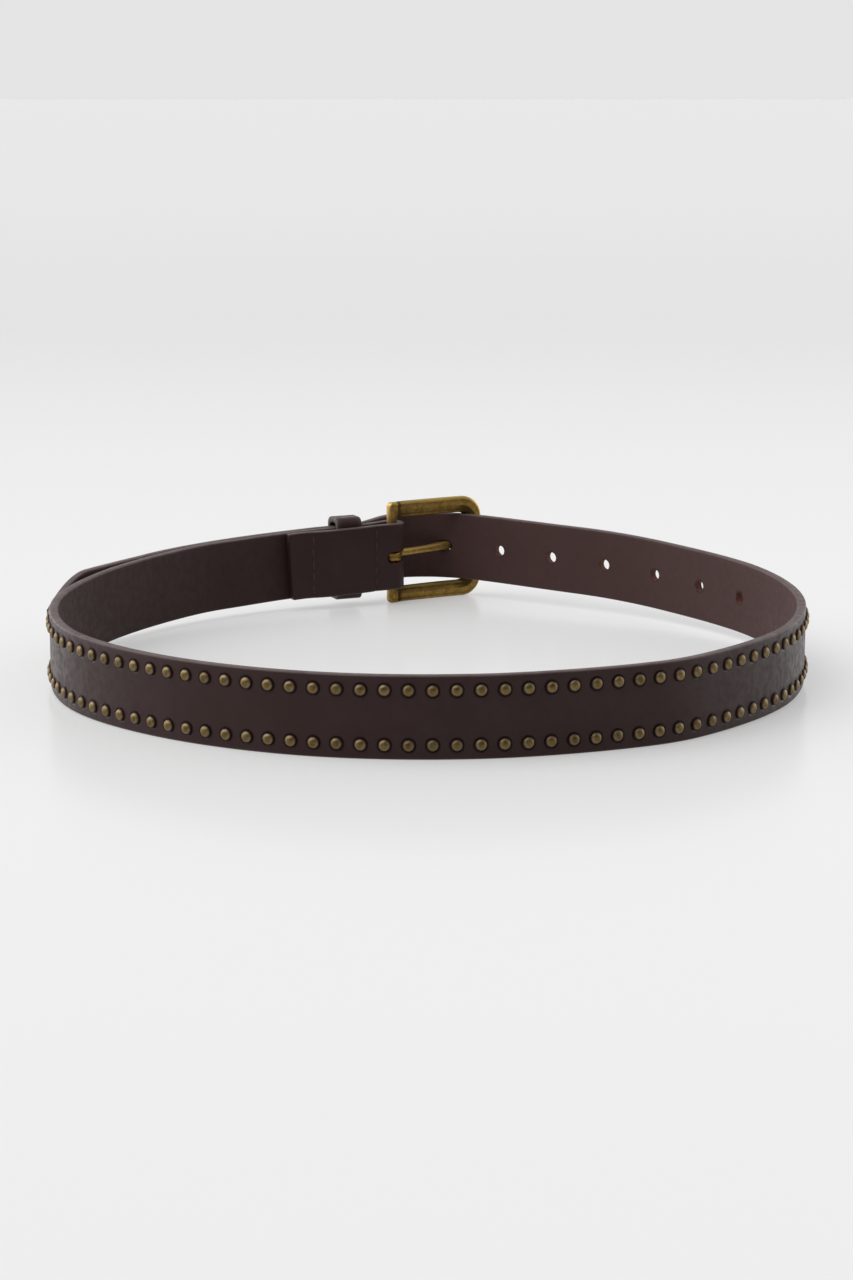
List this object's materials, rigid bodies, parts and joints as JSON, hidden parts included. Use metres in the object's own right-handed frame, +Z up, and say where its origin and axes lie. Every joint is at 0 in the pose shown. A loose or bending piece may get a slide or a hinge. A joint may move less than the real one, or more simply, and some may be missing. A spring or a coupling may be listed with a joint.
{
  "type": "belt",
  "caption": "Leather waist belt studded with brass domes along both edges, fastened by a rectangular pin buckle and a keeper loop, standing on its edge.",
  "frame": {"origin": "centre of the bounding box in plan, on the surface that the belt stands on", "axes": "+Z up, across the strap's width; +Y from the front of the loop to the buckle at its back; +X to the right for a viewer at the front"},
  "size_m": [0.2604, 0.27, 0.039],
  "materials": {
    "strap": "smooth dark brown, slight sheen; its dome studs are antique brass",
    "keeper_loop": "smooth dark brown, slight sheen",
    "buckle_frame": "antique, satin, dark in the recesses",
    "buckle_prong": "antique, satin"
  },
  "bodies": {
    "root": {"strap": "strap", "keeper_loop": "keeper_loop", "buckle_frame": "buckle_frame", "buckle_prong": "buckle_prong"}
  },
  "joints": []
}
